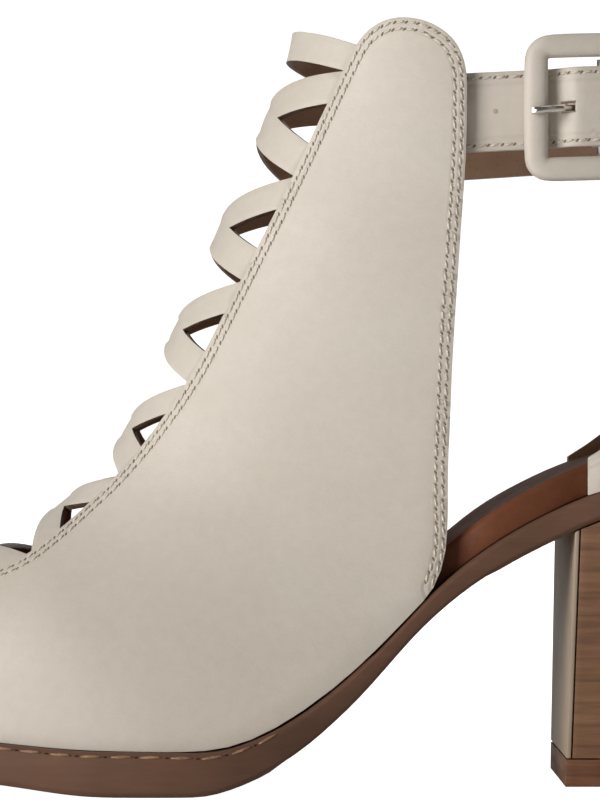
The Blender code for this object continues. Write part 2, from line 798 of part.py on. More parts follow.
def build_counter(material):
    """Heel cup whose rows run from the back ridge to its front and top edge."""
    columns = 8
    wall = COUNTER_WALL
    base_back = COUNTER_ROWS[0][0] * HEEL_BACK
    spread = 1.0 - WAIST_RIM / (BALL_WIDTH * SEAT_WIDTH)

    def outer(row, column):
        back_share, back_high, front_along, front_high, width = COUNTER_ROWS[row]
        back_x = back_share * HEEL_BACK
        front_x = along_to_x(front_along)
        side = -1 if column < 0 else 1
        share = 1.0 - math.cos(math.pi / 2.0 * abs(column) / columns)
        x = back_x + (front_x - back_x) * share
        foot_x = min(HEEL_BACK, x + base_back - back_x + WAIST_RIM)
        y = sole_middle(foot_x) + side * sole_half(foot_x) * spread * width
        if row == 0:
            return Vector((x, y, sole_top(x) + GAP))
        return Vector((x, y, PANEL_TOP * (back_high + (front_high - back_high) * share)))

    corners = {(i, j): outer(i, j)
               for i in range(len(COUNTER_ROWS)) for j in range(-columns, columns + 1)}

    def normal(i, j):
        last = len(COUNTER_ROWS) - 1
        up = corners[min(i + 1, last), j] - corners[max(i - 1, 0), j]
        along = corners[i, min(j + 1, columns)] - corners[i, max(j - 1, -columns)]
        return along.cross(up).normalized()

    def place(key, layer):
        shift = normal(*key) * wall * layer
        if key[0] == 0:
            shift.z = 0.0
        return corners[key] - shift

    cells = [(((i, j), (i, j + 1), (i + 1, j + 1), (i + 1, j)), 0)
             for i in range(len(COUNTER_ROWS) - 1) for j in range(-columns, columns)]
    return add_object("counter", layered_solid("counter", cells, place, 1), material)


class StrapLine:
    """The strap's outer face seen from above, from the outer panel round the heel to the inner."""

    def __init__(self):
        panel_back = along_to_x(RIBS[1][2])
        self.bend = panel_back + STRAP_BEND
        self.start = panel_back - STRAP_TUCK
        half = []
        steps = 60
        reach = STRAP_BACK - self.bend
        for i in range(13):
            x = self.start + (self.bend - self.start) * i / 12
            y = STRAP_HALF_SPAN - STRAP_TOE_IN * (self.bend - x) ** 2
            half.append((x, -y))
        for i in range(1, steps + 1):
            turn = math.pi / 2.0 * i / steps
            share = math.sin(turn) ** (2.0 / STRAP_ROUND)
            rest = max(0.0, math.cos(turn)) ** (2.0 / STRAP_ROUND)
            half.append((self.bend + reach * share, -STRAP_HALF_SPAN * rest))
        self.points = half + [(x, -y) for x, y in half[-2::-1]]
        self.lengths = [0.0]
        for a, b in zip(self.points, self.points[1:]):
            self.lengths.append(self.lengths[-1] + math.dist(a, b))
        self.length = self.lengths[-1]

    def at_x(self, x):
        """Distance along the outer side at which the strap reaches x."""
        for i, point in enumerate(self.points):
            if point[0] >= x:
                a, b = self.points[i - 1], point
                share = (x - a[0]) / (b[0] - a[0])
                return self.lengths[i - 1] + (self.lengths[i] - self.lengths[i - 1]) * share

    def plan(self, s):
        for i in range(len(self.points) - 1):
            if s <= self.lengths[i + 1] or i == len(self.points) - 2:
                share = (s - self.lengths[i]) / (self.lengths[i + 1] - self.lengths[i])
                a, b = self.points[i], self.points[i + 1]
                return Vector((a[0] + (b[0] - a[0]) * share, a[1] + (b[1] - a[1]) * share))

    def wrap(self, s, out, up):
        """Point at s along the strap, out from its outer face and up from its middle."""
        step = 1.5
        low, high = max(0.0, s - step), min(self.length, s + step)
        run = (self.plan(high) - self.plan(low)).normalized()
        spot = self.plan(s)
        share = s / self.length
        high = STRAP_Z + STRAP_CLIMB * math.sin(math.pi * share) - STRAP_INNER_DROP * share
        return Vector((spot.x + run.y * out, spot.y - run.x * out, high + up))


LINE = StrapLine()
BUCKLE_FRONT = LINE.at_x(along_to_x(RIBS[1][2]) + BUCKLE_REACH)
BAR_AT = BUCKLE_FRONT + BUCKLE_LONG / 2.0
OPENING_HALF = BUCKLE_LONG / 2.0 - BUCKLE_BAR
LOOP_OUT = BAR_OUT + BAR_RADIUS + 0.1 + LOOP_LEATHER
SHORT_END = BAR_AT + BUCKLE_LONG / 2.0 + TIP_REACH


def short_strap_out(s):
    """Outer face of the holed strap: under the buckle's ends, over its centre bar."""
    rise = LOOP_OUT + GAP + STRAP_THICK
    away = abs(s - BAR_AT)
    flat = OPENING_HALF - 2 * GAP
    return rise * (1.0 - ease(flat - STRAP_SLOPE, flat, away))


def build_short_strap(material):
    stations = [LINE.lengths[0], 4.5, 9.0, BUCKLE_FRONT - 5.0, BUCKLE_FRONT,
                BAR_AT - OPENING_HALF + 0.4]
    slot_front, slot_back = BAR_AT - SLOT_FROM, BAR_AT - SLOT_TO
    stations += [slot_front, (slot_front + slot_back) / 2.0, slot_back, BAR_AT - 2.0, BAR_AT + 2.0,
                 BAR_AT + SLOT_TO, BAR_AT + (SLOT_TO + SLOT_FROM) / 2.0, BAR_AT + SLOT_FROM,
                 BAR_AT + OPENING_HALF - 0.4, BAR_AT + BUCKLE_LONG / 2.0]
    free = SHORT_END - stations[-1]
    stations += [stations[-1] + free * share for share in (0.3, 0.55, 0.75, 0.88, 0.96, 1.0)]
    rows = (-STRAP_WIDTH / 2.0, -PRONG_SLOT / 2.0, PRONG_SLOT / 2.0, STRAP_WIDTH / 2.0)
    tip_start = SHORT_END - STRAP_WIDTH / 2.0

    def place(key, layer):
        s = stations[key[0]]
        up = rows[key[1]]
        round_off = max(0.0, (s - tip_start) / (SHORT_END - tip_start))
        up *= math.sqrt(max(0.06, 1.0 - round_off ** 2.4))
        return LINE.wrap(s, short_strap_out(s) - layer * STRAP_THICK, up)

    cells = []
    for i in range(len(stations) - 1):
        for j in range(3):
            in_slot = j == 1 and slot_front <= stations[i] < slot_back
            if not in_slot:
                cells.append((((i, j), (i + 1, j), (i + 1, j + 1), (i, j + 1)), 0))
    add_object("ankle_strap_holed", layered_solid("ankle_strap_holed", cells, place, 1), material)


def long_strap_path():
    """Middle of the strap that wraps the heel: fold, loop round the bar, then to the inner panel.

    Each row holds the distance along, the distance out and half the thickness.
    """
    thin = LOOP_LEATHER / 2.0
    full = STRAP_THICK / 2.0
    under = -STRAP_THICK - GAP - full
    fold = under - full - GAP - thin
    path = [(BAR_AT + FOLD_LONG, fold, thin), (BAR_AT + 7.5, fold, thin),
            (BAR_AT + 4.0, fold + 0.85, thin), (BAR_AT + 1.9, fold + 2.5, thin)]
    around = BAR_RADIUS + 0.1 + thin
    for degrees in (-70, -100, -135, -180, -225, -255, -285):
        angle = math.radians(degrees)
        path.append((BAR_AT + around * math.cos(angle), BAR_OUT + around * math.sin(angle), thin))
    path += [(BAR_AT + 2.6, 0.4, thin), (BAR_AT + 4.6, under + 1.4, thin * 1.1),
             (BAR_AT + 6.8, under + 0.2, full * 0.9), (BAR_AT + 9.0, under, full)]
    turn_from, turn_to = SHORT_END + 0.5, SHORT_END + 8.5
    spots = [BAR_AT + 9.0 + 5.0 * i for i in range(1, 200)]
    for s in spots:
        if s < LINE.length - 2.0:
            out = under + (-full - under) * ease(turn_from, turn_to, s)
            path.append((s, out, full))
    path.append((LINE.length, -full, full))
    return path


def build_long_strap(material):
    path = long_strap_path()
    rows = (-STRAP_WIDTH / 2.0, -PRONG_SLOT / 2.0, PRONG_SLOT / 2.0, STRAP_WIDTH / 2.0)
    slot_first, slot_last = 2, 12

    def place(key, layer):
        i, j = key
        before, after = path[max(i - 1, 0)], path[min(i + 1, len(path) - 1)]
        run = Vector((after[0] - before[0], after[1] - before[1])).normalized()
        s, out, half = path[i]
        away = half * (1 - 2 * layer)
        return LINE.wrap(s - run.y * away, out + run.x * away, rows[j])

    cells = []
    for i in range(len(path) - 1):
        for j in range(3):
            if not (j == 1 and slot_first <= i < slot_last):
                cells.append((((i, j), (i + 1, j), (i + 1, j + 1), (i, j + 1)), 0))
    add_object("ankle_strap_wrap", layered_solid("ankle_strap_wrap", cells, place, 1), material)


def grid_solid(name, rings, closed):
    """Solid from rings of points; closed joins the last ring to the first, else both are capped."""
    points = [point for ring in rings for point in ring]
    sides = len(rings[0])
    faces = []
    for i in range(len(rings) if closed else len(rings) - 1):
        following = (i + 1) % len(rings)
        for j in range(sides):
            k = (j + 1) % sides
            faces.append((i * sides + j, i * sides + k, following * sides + k, following * sides + j))
    if not closed:
        faces.append(tuple(range(sides)))
        faces.append(tuple(range(len(points) - sides, len(points))))
    return mesh_from(name, points, faces)


def build_buckle(cover_material, metal_material):
    radius = BUCKLE_CORNER - BUCKLE_BAR / 2.0
    half_long = (BUCKLE_LONG - BUCKLE_BAR) / 2.0
    half_tall = (BUCKLE_TALL - BUCKLE_BAR) / 2.0
    middle_out = GAP + BUCKLE_THICK / 2.0
    outline = []
    for corner, (sx, sz) in enumerate(((1, 1), (-1, 1), (-1, -1), (1, -1))):
        for step in range(5):
            angle = math.pi / 2.0 * (corner + step / 4)
            outline.append((sx * (half_long - radius) + radius * math.cos(angle),
                            sz * (half_tall - radius) + radius * math.sin(angle),
                            math.cos(angle), math.sin(angle)))
        if corner in (0, 2):
            for share in (0.25, 0.5, 0.75):
                x = sx * (half_long - radius) * (1 - 2 * share)
                outline.append((x, sz * half_tall, 0.0, float(sz)))
    rings = []
    for x, z, away_x, away_z in outline:
        ring = []
        for k in range(12):
            angle = 2.0 * math.pi * k / 12
            wide = math.copysign(abs(math.cos(angle)) ** 0.7, math.cos(angle)) * BUCKLE_BAR / 2.0
            deep = math.copysign(abs(math.sin(angle)) ** 0.8, math.sin(angle)) * BUCKLE_THICK / 2.0
            ring.append(LINE.wrap(BAR_AT + x + away_x * wide, middle_out + deep, z + away_z * wide))
        rings.append(ring)
    add_object("buckle_frame", grid_solid("buckle_frame", rings, True), cover_material, 50.0)

    bar_half = BUCKLE_TALL / 2.0 - BUCKLE_BAR - GAP
    rings = []
    for up in (-bar_half, bar_half):
        rings.append([LINE.wrap(BAR_AT + BAR_RADIUS * math.cos(math.pi * k / 5),
                                BAR_OUT + BAR_RADIUS * math.sin(math.pi * k / 5), up)
                      for k in range(10)])
    add_object("buckle_centre_bar", grid_solid("buckle_centre_bar", rings, False), metal_material)

    bend = BAR_RADIUS + GAP + PRONG_RADIUS
    rest_out = GAP + BUCKLE_THICK + GAP + PRONG_RADIUS
    tip_at = -BUCKLE_LONG / 2.0 + PRONG_SHORT
    bar_edge = -OPENING_HALF
    path = [(bend * math.cos(math.radians(a)), BAR_OUT + bend * math.sin(math.radians(a)))
            for a in (60, 20, -20, -60, -100, -140)]
    path += [(-3.2, BAR_OUT + 0.5), (-SLOT_TO, BAR_OUT + 0.7), (-SLOT_FROM - 0.2, rest_out - 1.8),
             (bar_edge + 0.2, rest_out - 0.1), (tip_at + PRONG_BEVEL, rest_out),
             (tip_at, rest_out - 0.1)]
    rings = []
    for i, (x, out) in enumerate(path):
        before, after = path[max(i - 1, 0)], path[min(i + 1, len(path) - 1)]
        run = Vector((after[0] - before[0], after[1] - before[1])).normalized()
        fall = PRONG_ASKEW * ease(SLOT_TO, -tip_at, -x)
        top = 0.0 if x == tip_at else PRONG_RADIUS
        ring = []
        for k in range(8):
            angle = 2.0 * math.pi * (k + 0.5) / 8
            lift = PRONG_RADIUS * math.cos(angle)
            side = PRONG_RADIUS * math.sin(angle)
            outwards = max(lift, -top)
            ring.append(LINE.wrap(BAR_AT + x - run.y * outwards, out + run.x * outwards, side - fall))
        rings.append(ring)
    add_object("buckle_prong", grid_solid("buckle_prong", rings, False), metal_material)


def build_keeper(material):
    front = BAR_AT + BUCKLE_LONG / 2.0 + 1.8
    inner_half = STRAP_WIDTH / 2.0 + GAP
    low_out = -2.0 * STRAP_THICK - 2.0 * GAP
    high_out = GAP
    corners = ((low_out, -inner_half), (high_out, -inner_half), (high_out, inner_half),
               (low_out, inner_half))
    rings = []
    for s, grow in ((front, 0.0), (front, KEEPER_WALL), (front + KEEPER_WIDTH, KEEPER_WALL),
                    (front + KEEPER_WIDTH, 0.0)):
        ring = []
        for out, up in corners:
            grow_out = grow if out == high_out else -grow
            grow_up = grow if up > 0 else -grow
            ring.append(LINE.wrap(s, out + grow_out, up + grow_up))
        rings.append(ring)
    add_object("strap_keeper", grid_solid("strap_keeper", rings, True), material)


def main():
    for item in list(bpy.data.objects):
        bpy.data.objects.remove(item, do_unlink=True)
    leather = make_material("stone_leather", (0.60, 0.53, 0.45), 0.62)
    footbed_leather = make_material("cognac_leather", (0.19, 0.075, 0.035), 0.42)
    outsole_brown = make_material("outsole_brown", (0.11, 0.055, 0.035), 0.5)
    stacked = make_material("stacked_leather", (0.21, 0.105, 0.055), 0.5)
    lift_brown = make_material("top_lift_brown", (0.12, 0.055, 0.035), 0.55)
    breast = make_material("breast_taupe", (0.20, 0.17, 0.14), 0.6)
    metal = make_material("polished_steel", (0.75, 0.73, 0.70), 0.15, 1.0)
    build_outsole(outsole_brown)
    build_footbed(footbed_leather)
    build_heel(stacked, lift_brown, breast)
    build_upper(leather)
    build_counter(leather)
    build_short_strap(leather)
    build_long_strap(leather)
    build_buckle(leather, metal)
    build_keeper(leather)


main()
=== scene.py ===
"""Studio picture of a left ankle strap sandal in stone leather, on a stacked block heel.

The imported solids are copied, smoothed and given their leathers, linings and stitching.
Lengths are metres; names that end in MM are millimetres. The toe points to -X.
"""
import json
import math

import bmesh
import bpy
from mathutils import Matrix, Vector
from mathutils.bvhtree import BVHTree
from mathutils.kdtree import KDTree

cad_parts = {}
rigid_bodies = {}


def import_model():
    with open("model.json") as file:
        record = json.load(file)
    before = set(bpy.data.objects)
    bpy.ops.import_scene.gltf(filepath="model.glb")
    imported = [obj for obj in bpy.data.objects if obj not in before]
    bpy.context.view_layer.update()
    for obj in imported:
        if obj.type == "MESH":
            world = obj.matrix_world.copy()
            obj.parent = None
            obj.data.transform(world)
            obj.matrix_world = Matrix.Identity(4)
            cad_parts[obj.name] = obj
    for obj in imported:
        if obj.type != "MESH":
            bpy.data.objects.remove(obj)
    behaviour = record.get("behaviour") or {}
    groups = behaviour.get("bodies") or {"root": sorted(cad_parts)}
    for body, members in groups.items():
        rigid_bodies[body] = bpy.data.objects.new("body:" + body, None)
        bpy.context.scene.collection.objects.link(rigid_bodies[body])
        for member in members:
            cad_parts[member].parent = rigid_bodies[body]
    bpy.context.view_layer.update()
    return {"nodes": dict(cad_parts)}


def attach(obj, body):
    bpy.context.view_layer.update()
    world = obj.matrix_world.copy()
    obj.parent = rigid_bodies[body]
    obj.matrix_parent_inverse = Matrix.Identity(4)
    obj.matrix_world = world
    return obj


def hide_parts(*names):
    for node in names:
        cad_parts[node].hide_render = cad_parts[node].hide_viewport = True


MM = 0.001

# Photograph's camera: level, side on to the outer panel
CAMERA_PLACE = (-0.0762, -0.720, 0.0695)
CAMERA_AIM = (-0.0741, 0.0, 0.0777)
FOCAL_PX = 3492.0
FRAME_TALL_PX = 800.0
SENSOR_MM = 36.0

# Stitching
PANEL_ROWS_MM = (1.05, 2.45)    # from the panel's edge
PANEL_PITCH_MM = 2.5
STRAP_ROW_MM = 1.15
STRAP_PITCH_MM = 2.6
THREAD_WIDE_MM = 0.5
# dark beads of painted shade for the needle holes: their height and lift
HOLE_SHADE_DEEP_MM = 0.12
HOLE_SHADE_LIFT_MM = 0.02
PUNCHED_X = (-0.0355, -0.0285)  # closed holes along the strap's outer end, drawn as discs of painted shade
PUNCHED_Y = -0.032
PUNCHED_Z = 0.1345
PUNCHED_WIDE_MM = 1.1
PUNCHED_DEEP_MM = 0.1
WELT_ROW_MM = 0.45              # in from the outsole's upper rim
WELT_PITCH_MM = 5.9
WELT_END_X = -0.074
SOLE_NEAR_MM = 1.2              # an edge closer than this to the outsole is not stitched
STITCH_NEAR_MM = 1.6            # a stitch closer than this to the outsole is left out
LINE_STEP_MM = 0.4
SPLINE_STEPS = 12

# Faces of a leather piece
LEATHER, LINING, CUT_EDGE = 0, 1, 2
SHARP = math.radians(38.0)
PANEL_SHARP = math.radians(26.0)    # at the tab the wall meets its edge at a flatter angle
SHADED_SHARP = math.radians(50.0)
QUAD_FLAT = math.radians(30.0)      # most that two triangles of a quad may be folded
QUAD_SQUARE = math.radians(75.0)    # most that a quad's corners may be off the square
MERGE_MM = 0.02
EDGE_STRIP_MM = 3.0             # patches narrower than this are the edges of a wall
JOINT_FILL_MM = 0.2             # the sole is pressed this much closer to what lies on it
SIDE_MM = 1.5                   # step in and out from a rim that tells its two sides apart
PLAIN_MM = 9.0                  # as far from an edge as leather without stitches counts
EDGE_RANGE_MM = 5.0             # reach of the sunk stitch rows and their painted shade beside an edge
PANEL_FROM_MM = 15.0            # a panel's middle is farther than this from the shoe's middle

# Points inside the foot, that tell the outside of a wall from its lining
FOOT_MIDDLE = ((-0.199, 0.020), (-0.105, 0.028), (-0.070, 0.060), (-0.035, 0.130))   # x and z
HEEL_MIDDLE_X = -0.014

# Studio
SWEEP_HALF = 4.0
SWEEP_BEND = 1.5
LAMP_AIM = (-0.08, 0.0, 0.07)


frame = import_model()
nodes = frame["nodes"]


def srgb(code):
    """Linear colour from an sRGB hex code."""
    parts = [int(code[i:i + 2], 16) / 255.0 for i in (1, 3, 5)]
    return (*[c / 12.92 if c <= 0.04045 else ((c + 0.055) / 1.055) ** 2.4 for c in parts], 1.0)


def add(tree, kind, inputs=None, **settings):
    """A node with its settings; inputs are numbers, colours or sockets to link."""
    node = tree.nodes.new(kind)
    for key, value in settings.items():
        setattr(node, key, value)
    for key, value in (inputs or {}).items():
        if isinstance(value, bpy.types.NodeSocket):
            tree.links.new(value, node.inputs[key])
        else:
            node.inputs[key].default_value = value
    return node


def principled(name, roughness, metallic=0.0, ior=1.5, **extra):
    """New material, its tree and its shader."""
    material = bpy.data.materials.new(name)
    material.use_nodes = True
    tree = material.node_tree
    shader = tree.nodes["Principled BSDF"]
    values = {"Roughness": roughness, "Metallic": metallic, "IOR": ior, **extra}
    for key, value in values.items():
        shader.inputs[key].default_value = value
    return material, tree, shader


def per_metre(size_mm):
    """Texture scale whose features are about this size."""
    return 1.0 / (size_mm * MM)


def ramp(tree, factor, stops):
    """Colour ramp from rows of place and colour."""
    node = add(tree, "ShaderNodeValToRGB", {"Fac": factor})
    elements = node.color_ramp.elements
    while len(elements) < len(stops):
        elements.new(0.5)
    for element, (place, colour) in zip(elements, stops):
        element.position = place
        element.color = colour
    return node.outputs["Color"]


def grey(value):
    return (value, value, value, 1.0)


def mixed(tree, factor, first, second, blend="MIX"):
    """Mix of two colours; the factor is a number or a socket."""
    node = add(tree, "ShaderNodeMix", data_type="RGBA", blend_type=blend)
    for index, value in ((0, factor), (6, first), (7, second)):
        if isinstance(value, bpy.types.NodeSocket):
            tree.links.new(value, node.inputs[index])
        else:
            node.inputs[index].default_value = value
    return node.outputs[2]


def noise(tree, size_mm, detail=2.0, roughness=0.5, stretch=None):
    """Noise on Object coordinates with features of about this size."""
    place = add(tree, "ShaderNodeTexCoord").outputs["Object"]
    if stretch:
        place = add(tree, "ShaderNodeMapping", {"Vector": place, "Scale": stretch}).outputs[0]
    inputs = {"Vector": place, "Scale": per_metre(size_mm), "Detail": detail,
              "Roughness": roughness}
    return add(tree, "ShaderNodeTexNoise", inputs).outputs["Fac"]


def cells(tree, size_mm):
    """Cell pattern on Object coordinates, as the pores of a hide."""
    place = add(tree, "ShaderNodeTexCoord").outputs["Object"]
    inputs = {"Vector": place, "Scale": per_metre(size_mm)}
    return add(tree, "ShaderNodeTexVoronoi", inputs).outputs["Distance"]


def bump(tree, shader, rows):
    """Chain of bumps from rows of height socket, depth in millimetres and strength."""
    normal = None
    for height, depth_mm, strength in rows:
        inputs = {"Height": height, "Distance": depth_mm * MM, "Strength": strength}
        if normal is not None:
            inputs["Normal"] = normal
        normal = add(tree, "ShaderNodeBump", inputs).outputs["Normal"]
    tree.links.new(normal, shader.inputs["Normal"])


def link(tree, socket, shader, name):
    tree.links.new(socket, shader.inputs[name])


def stone_leather():
    """Smooth calf with a stone-coloured matt finish: soft mottling, fine closed pores.

    The edge attribute, in millimetres, sinks the stitch rows with a bump and paints shade into
    them and along the panel's rim.
    """
    material, tree, shader = principled("stone_calf_leather", 0.58, ior=1.45,
                                        **{"Sheen Weight": 0.12, "Sheen Roughness": 0.5})
    broad = ramp(tree, noise(tree, 34.0, 3.0), [(0.30, srgb("#CFC5B7")), (0.72, srgb("#D6CDC1"))])
    hide = ramp(tree, noise(tree, 2.2, 4.0, 0.6), [(0.30, grey(0.94)), (0.70, grey(1.0))])
    colour = mixed(tree, 0.8, broad, hide, "MULTIPLY")
    edge = add(tree, "ShaderNodeAttribute", attribute_name="edge_mm").outputs["Fac"]
    share = add(tree, "ShaderNodeMath", {0: edge, 1: 1.0 / EDGE_RANGE_MM},
                operation="MULTIPLY").outputs[0]
    first, second = (value / EDGE_RANGE_MM for value in PANEL_ROWS_MM)
    dip = ramp(tree, share, [
        (0.0, grey(0.45)), (first - 0.11, grey(0.9)), (first, grey(0.25)),
        (first + 0.13, grey(0.95)), (second, grey(0.25)), (second + 0.13, grey(0.9)),
        (1.0, grey(1.0))])
    # painted shade: darker along the rim and in the two stitch grooves
    painted_groove_shade = ramp(tree, share, [
        (0.0, grey(0.93)), (first, grey(0.93)), (first + 0.12, grey(1.0)), (second, grey(0.94)),
        (second + 0.14, grey(1.0)), (1.0, grey(1.0))])
    link(tree, mixed(tree, 1.0, colour, painted_groove_shade, "MULTIPLY"), shader, "Base Color")
    gloss = ramp(tree, noise(tree, 6.0, 3.0), [(0.3, grey(0.52)), (0.7, grey(0.64))])
    link(tree, gloss, shader, "Roughness")
    bump(tree, shader, [(dip, 0.22, 0.7), (cells(tree, 0.55), 0.05, 0.35),
                        (noise(tree, 0.9, 3.0), 0.06, 0.3)])
    return material


def lining_leather():
    """Brown pigskin lining: dull, with darker pores in loose groups."""
    material, tree, shader = principled("brown_pigskin_lining", 0.68, ior=1.45)
    pores = ramp(tree, cells(tree, 1.3), [(0.05, grey(0.72)), (0.28, grey(1.0))])
    tone = ramp(tree, noise(tree, 9.0, 3.0), [(0.3, srgb("#9A7A61")), (0.7, srgb("#AB8C74"))])
    link(tree, mixed(tree, 0.8, tone, pores, "MULTIPLY"), shader, "Base Color")
    bump(tree, shader, [(cells(tree, 1.3), 0.06, 0.4)])
    return material


def cut_edge():
    """Raw edge of leather on its lining: dark, fibrous, slightly waxed."""
    material, tree, shader = principled("waxed_cut_edge", 0.55, ior=1.45)
    tone = ramp(tree, noise(tree, 1.2, 3.0), [(0.3, srgb("#4B382C")), (0.7, srgb("#6B5444"))])
    link(tree, tone, shader, "Base Color")
    bump(tree, shader, [(noise(tree, 0.4, 2.0), 0.04, 0.4)])
    return material


def thread(name, dark, light, twist_mm):
    """Spun polyester thread: soft sheen, fine twist that shows as light and dark."""
    material, tree, shader = principled(name, 0.5, ior=1.5, **{"Sheen Weight": 0.2})
    tone = ramp(tree, noise(tree, twist_mm, 2.0), [(0.35, srgb(dark)), (0.65, srgb(light))])
    link(tree, tone, shader, "Base Color")
    bump(tree, shader, [(noise(tree, twist_mm, 2.0), 0.05, 0.5)])
    return material


def needle_hole_shade(name, code):
    """Painted shade of a needle hole at the end of a stitch: a dark, flat bead on the leather."""
    material, tree, shader = principled(name, 0.8, ior=1.4)
    shader.inputs["Base Color"].default_value = srgb(code)
    bump(tree, shader, [(noise(tree, 0.3, 2.0), 0.03, 0.4)])
    return material


def footbed_leather():
    """Glazed cognac calf over a board: glossy where it rolls over the rim, fine creases."""
    material, tree, shader = principled("glazed_cognac_calf", 0.42, ior=1.45,
                                        **{"Specular IOR Level": 0.1})
    tone = ramp(tree, noise(tree, 22.0, 4.0), [(0.30, srgb("#5F3825")), (0.72, srgb("#764832"))])
    hide = ramp(tree, noise(tree, 1.6, 4.0, 0.6), [(0.3, grey(0.86)), (0.7, grey(1.0))])
    link(tree, mixed(tree, 0.8, tone, hide, "MULTIPLY"), shader, "Base Color")
    gloss = ramp(tree, noise(tree, 5.0, 3.0), [(0.3, grey(0.38)), (0.7, grey(0.5))])
    link(tree, gloss, shader, "Roughness")
    bump(tree, shader, [(cells(tree, 0.7), 0.04, 0.3), (noise(tree, 3.0, 3.0), 0.08, 0.25)])
    return material


def outsole_leather():
    """Waxed brown sole leather, burnished at its edge: satin, faint run of the grain."""
    material, tree, shader = principled("burnished_sole_leather", 0.5, ior=1.45,
                                        **{"Specular IOR Level": 0.15})
    long_grain = noise(tree, 1.4, 4.0, 0.6, (0.12, 0.12, 1.0))
    tone = ramp(tree, noise(tree, 26.0, 3.0), [(0.30, srgb("#63493B")), (0.72, srgb("#765746"))])
    fibre = ramp(tree, long_grain, [(0.30, grey(0.84)), (0.70, grey(1.0))])
    link(tree, mixed(tree, 0.9, tone, fibre, "MULTIPLY"), shader, "Base Color")
    gloss = ramp(tree, noise(tree, 4.0, 3.0), [(0.3, grey(0.38)), (0.7, grey(0.52))])
    link(tree, gloss, shader, "Roughness")
    bump(tree, shader, [(long_grain, 0.05, 0.35), (noise(tree, 0.5, 2.0), 0.03, 0.2)])
    return material


def stacked_leather(name, dark, middle, light, layer_mm):
    """Layers of leather on edge, sanded and waxed: level streaks and thin dark joints."""
    material, tree, shader = principled(name, 0.5, ior=1.48)
    streak = noise(tree, 2.6, 5.0, 0.62, (0.10, 0.10, 1.0))
    fine = noise(tree, 0.55, 3.0, 0.6, (0.05, 0.05, 1.0))
    tone = ramp(tree, streak, [(0.30, srgb(dark)), (0.50, srgb(middle)), (0.70, srgb(light))])
    hair = ramp(tree, fine, [(0.32, grey(0.78)), (0.62, grey(1.0))])
    colour = mixed(tree, 0.85, tone, hair, "MULTIPLY")
    place = add(tree, "ShaderNodeTexCoord").outputs["Object"]
    height = add(tree, "ShaderNodeSeparateXYZ", {"Vector": place}).outputs["Z"]
    wobble = noise(tree, 14.0, 2.0)
    shifted = add(tree, "ShaderNodeMath", {0: wobble, 1: 1.1 * MM, 2: height},
                  operation="MULTIPLY_ADD").outputs[0]
    layers = add(tree, "ShaderNodeMath", {0: shifted, 1: per_metre(layer_mm)},
                 operation="MULTIPLY").outputs[0]
    part = add(tree, "ShaderNodeMath", {0: layers}, operation="FRACT").outputs[0]
    joint = ramp(tree, part, [(0.0, grey(0.62)), (0.05, grey(0.70)), (0.11, grey(1.0)),
                              (0.93, grey(1.0)), (1.0, grey(0.62))])
    link(tree, mixed(tree, 0.55, colour, joint, "MULTIPLY"), shader, "Base Color")
    gloss = ramp(tree, streak, [(0.3, grey(0.58)), (0.7, grey(0.46))])
    link(tree, gloss, shader, "Roughness")
    bump(tree, shader, [(joint, 0.10, 0.35), (fine, 0.05, 0.45)])
    return material


def breast_cover():
    """Taupe leather pasted over the heel's breast: thin, matt, slightly mottled."""
    material, tree, shader = principled("taupe_pasted_leather", 0.5, ior=1.46)
    tone = ramp(tree, noise(tree, 12.0, 3.0), [(0.3, srgb("#9B8973")), (0.7, srgb("#A89682"))])
    link(tree, tone, shader, "Base Color")
    bump(tree, shader, [(cells(tree, 0.6), 0.04, 0.3)])
    return material


def polished_steel():
    """Nickel-bright polished steel: clean reflections, the faintest wear."""
    material, tree, shader = principled("polished_steel", 0.14, metallic=1.0)
    shader.inputs["Base Color"].default_value = srgb("#D9D6D0")
    wear = ramp(tree, noise(tree, 1.8, 4.0), [(0.35, grey(0.10)), (0.75, grey(0.24))])
    link(tree, wear, shader, "Roughness")
    bump(tree, shader, [(noise(tree, 1.2, 3.0), 0.01, 0.2)])
    return material


LEATHERS = [stone_leather(), lining_leather(), cut_edge()]
STONE_THREAD = thread("stone_polyester_thread", "#C6BAA8", "#DFD5C6", 0.5)
TAN_THREAD = thread("tan_waxed_thread", "#835F46", "#A57D5C", 0.7)
# needle holes: dark beads of painted shade
STONE_HOLE_SHADE = needle_hole_shade("painted_needle_hole_shade_in_stone_leather", "#7F705E")
WELT_HOLE_SHADE = needle_hole_shade("painted_needle_hole_shade_in_welt", "#2E1D17")


def merged(node):
    """Bmesh of a CAD node's copy, its doubles merged and its triangles joined to quads."""
    work = bmesh.new()
    work.from_mesh(nodes[node].data)
    bmesh.ops.remove_doubles(work, verts=work.verts, dist=MERGE_MM * MM)
    bmesh.ops.join_triangles(work, faces=work.faces, angle_face_threshold=QUAD_FLAT,
                             angle_shape_threshold=QUAD_SQUARE)
    work.normal_update()
    return work


def new_object(name, data):
    """Object with this data, in the scene."""
    made = bpy.data.objects.new(name, data)
    bpy.context.scene.collection.objects.link(made)
    return made


def crease(work):
    """Marks the sharp edges so that smoothing keeps them."""
    layers = work.edges.layers.float
    layer = layers.get("crease_edge") or layers.new("crease_edge")
    for edge in work.edges:
        if len(edge.link_faces) == 2 and edge.calc_face_angle() > SHARP:
            edge[layer] = 1.0


